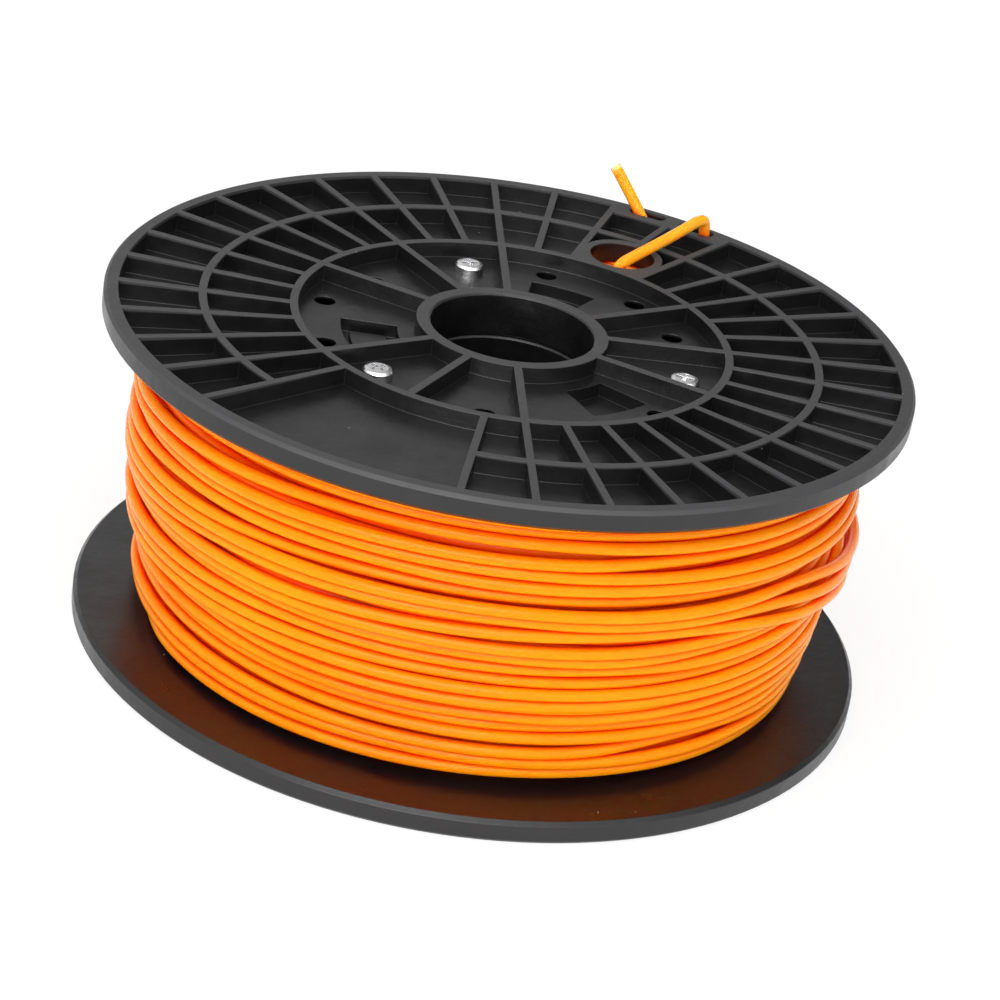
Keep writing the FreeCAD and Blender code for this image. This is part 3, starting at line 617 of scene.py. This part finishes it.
def spread(rows, bottom, top):
    """Push neighbouring turns apart where they come nearer than strands that lie side by side can."""
    for _ in range(SPREAD_ROUNDS):
        overlap = np.clip(LEAST_SPACING - np.diff(rows, axis=0), 0.0, None)
        rows[:-1] -= 0.5 * overlap
        rows[1:] += 0.5 * overlap
        rows = rows.clip(bottom, top)
    return rows


def stray_shares():
    """How far into its dip each outer turn is at every step, from 0 to 1 at the dip's middle."""
    degrees = np.degrees(turn_azimuths())
    shares = np.zeros((OUTER_TURNS, STEPS_PER_TURN))
    for turn, _, middle, reach in STRAYS:
        across = np.clip((degrees - middle) / reach, -1.0, 1.0)
        shares[turn] = 0.5 * (1.0 + np.cos(math.pi * across))
    return shares


def outer_heights(chance, bottom, top):
    """Heights of the outer strand along all its turns."""
    levels = np.linspace(bottom, top, OUTER_TURNS * STEPS_PER_TURN)
    azimuths = np.tile(turn_azimuths(), OUTER_TURNS)
    heights = levels - sag(levels, azimuths) + wander(chance, OUTER_TURNS, *OUTER_WANDER)
    rows = spread(heights.reshape(OUTER_TURNS, STEPS_PER_TURN), bottom, top)
    shares = stray_shares()
    for turn, depth, _, _ in STRAYS:
        rows[turn] -= depth * MM * shares[turn]
    return smooth_run(rows.reshape(-1), HEIGHT_SMOOTHING).clip(bottom, top)


def under_heights(chance, bottom, top):
    """Heights of the strand below the outer one, which climbs the other way."""
    levels = np.linspace(top, bottom, UNDER_TURNS * STEPS_PER_TURN)
    heights = levels + wander(chance, UNDER_TURNS, *UNDER_WANDER)
    rows = spread(heights.reshape(UNDER_TURNS, STEPS_PER_TURN)[::-1], bottom, top)[::-1]
    return smooth_run(rows.reshape(-1), HEIGHT_SMOOTHING).clip(bottom, top)


def press(heights, distances, loose):
    """Press turns that stand far out back towards the profile, except where they run loose."""
    excess = np.clip(distances - turn_centre_distance(heights) - FIRM_FROM, 0.0, None)
    return distances - FIRM_SHARE * (1.0 - loose) * excess


def tuck_ends(distances):
    """Let both ends of a strand dive in between the turns below it."""
    dive = TUCK_DEPTH * np.linspace(1.0, 0.0, TUCK_STEPS) ** 2
    distances[:TUCK_STEPS] -= dive
    distances[-TUCK_STEPS:] -= dive[::-1]
    return distances


def tube_mesh(name, centres):
    """A round strand along centres, closed at both ends."""
    count = len(centres)
    outward = centres * np.array((1.0, 1.0, 0.0))
    outward /= np.linalg.norm(outward, axis=1)[:, None]
    upward = np.array((0.0, 0.0, 1.0))
    rings = []
    for turn in circle(STRAND_SIDES):
        rings.append(centres + STRAND_RADIUS * (math.cos(turn) * outward + math.sin(turn) * upward))
    points = np.stack(rings, axis=1).reshape(-1, 3)
    faces = []
    for step in range(count - 1):
        near = step * STRAND_SIDES
        far = near + STRAND_SIDES
        for side in range(STRAND_SIDES):
            after = (side + 1) % STRAND_SIDES
            faces.append((near + side, far + side, far + after, near + after))
    faces.append(tuple(range(STRAND_SIDES)))
    faces.append(tuple(reversed(range((count - 1) * STRAND_SIDES, count * STRAND_SIDES))))
    return mesh_object(name, points, faces)


def lay_strand(name, winding, heights, order, loose):
    """Lay a strand's turns in the given order and build it as one unbroken tube."""
    turns = len(heights) // STEPS_PER_TURN
    rows = heights.reshape(turns, STEPS_PER_TURN)
    distances = np.zeros(rows.shape)
    for turn in order:
        distances[turn] = winding.lay(rows[turn])
    distances = press(rows, distances, loose)
    run = tuck_ends(smooth_run(distances.reshape(-1), DISTANCE_SMOOTHING))
    azimuths = np.tile(turn_azimuths(), turns)
    centres = np.stack((run * np.cos(azimuths), run * np.sin(azimuths), heights), axis=1)
    return tube_mesh(name, centres)


def bumpy_edge(start, end, height, facing):
    """The core's section along its top or bottom face, where a row of turns shows."""
    width = (end - start) / CORE_BUMPS
    places = []
    for bump in range(CORE_BUMPS):
        for point in range(BUMP_POINTS):
            turn = math.pi * point / BUMP_POINTS
            across = start + width * (bump + 0.5 - 0.5 * math.cos(turn))
            places.append((across, height + facing * STRAND_RADIUS * (math.sin(turn) - 1.0)))
    return places


def make_core(bottom, top, inner):
    """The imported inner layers: a ring with a row of turns showing on its top and bottom faces."""
    depth = LAYER_DEPTH + CORE_GAP
    outline = bumpy_edge(inner, float(turn_centre_distance(bottom)) - depth, bottom, facing=-1)
    for height in np.linspace(bottom + STRAND_RADIUS, top - STRAND_RADIUS, CORE_LEVELS):
        outline.append((float(turn_centre_distance(height)) - depth, float(height)))
    outline += reversed(bumpy_edge(inner, float(turn_centre_distance(top)) - depth, top, facing=1))
    points = []
    for turn in circle(CORE_SIDES):
        for across, height in outline:
            points.append((across * math.cos(turn), across * math.sin(turn), height))
    faces = []
    count = len(outline)
    for side in range(CORE_SIDES):
        here = side * count
        after = (side + 1) % CORE_SIDES * count
        for index in range(count):
            along = (index + 1) % count
            faces.append((here + index, after + index, after + along, here + along))
    return mesh_object("winding_core", points, faces)


def make_winding(filament):
    """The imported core, the layer below and the outer turns, each resting on the last."""
    low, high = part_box("filament_pack")
    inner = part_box("barrel")[1].x + PACK_CLEARANCE
    chance = np.random.default_rng(SEED)
    core = make_core(low.z, high.z, inner)
    winding = Winding(low.z, high.z)
    first = low.z + STRAND_RADIUS
    last = high.z - STRAND_RADIUS
    under = under_heights(chance, first, last)
    under = lay_strand("winding_under", winding, under, range(UNDER_TURNS), loose=1.0)
    stray_turns = [stray[0] for stray in STRAYS]
    order = [turn for turn in chance.permutation(OUTER_TURNS) if turn not in stray_turns] + stray_turns
    outer = outer_heights(chance, first, last)
    outer = lay_strand("winding_outer", winding, outer, order, loose=stray_shares())
    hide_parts("filament_pack")
    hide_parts("filament_outer_layer")
    for piece in (core, under, outer):
        piece.data.materials.append(filament)
        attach(piece, "root")


def route_points():
    """The route of the strand's start, in the part's frame."""
    points = []
    for distance, angle, height in START_ROUTE:
        turn = math.radians(HOLE_DIRECTION + angle)
        points.append(Vector((distance * math.cos(turn), distance * math.sin(turn), height)) * MM)
    return points


def make_start(filament):
    """The strand's free start as one smooth NURBS line through the filament hole and the rim slots."""
    points = route_points()
    curve = bpy.data.curves.new("strand_start", "CURVE")
    curve.dimensions = "3D"
    curve.resolution_u = START_STEPS
    curve.bevel_depth = STRAND_RADIUS
    curve.bevel_resolution = START_BEVEL_STEPS
    curve.use_fill_caps = True
    spline = curve.splines.new("NURBS")
    spline.points.add(len(points) - 1)
    for place, point in zip(points, spline.points):
        point.co = (*place, 1.0)
    spline.order_u = 3
    spline.use_endpoint_u = True
    start = link_object("strand_start", curve)
    start.data.materials.append(filament)
    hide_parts("filament_start")
    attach(start, "root")


def dress_node(node, material):
    """Give a carried-over CAD node its procedural material."""
    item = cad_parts[node]
    item.data.materials.clear()
    item.data.materials.append(material)


make_camera()
make_world()
make_floor()
for lamp in LAMPS:
    make_lamp(*lamp)

make_winding(orange_filament("orange_filament", WOUND_ORANGES, WOUND_DEPTH))
# The start's lighter, yellower colours are painted light on the free strand
make_start(orange_filament("orange_filament_start_painted_light", START_PAINTED_LIGHT_ORANGES, START_DEPTH, tip=route_points()[-1]))

upper_black = moulded_plastic("black_plastic_upper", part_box("upper_flange")[1].z)
lower_black = moulded_plastic("black_plastic_lower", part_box("lower_flange")[0].z)
dress_node("upper_flange", upper_black)
dress_node("lower_flange", lower_black)
dress_node("barrel", moulded_plastic("black_plastic"))
steel = bright_zinc()
dress_node("upper_screws", steel)
dress_node("lower_screws", steel)

bpy.context.scene.view_settings.view_transform = "Standard"
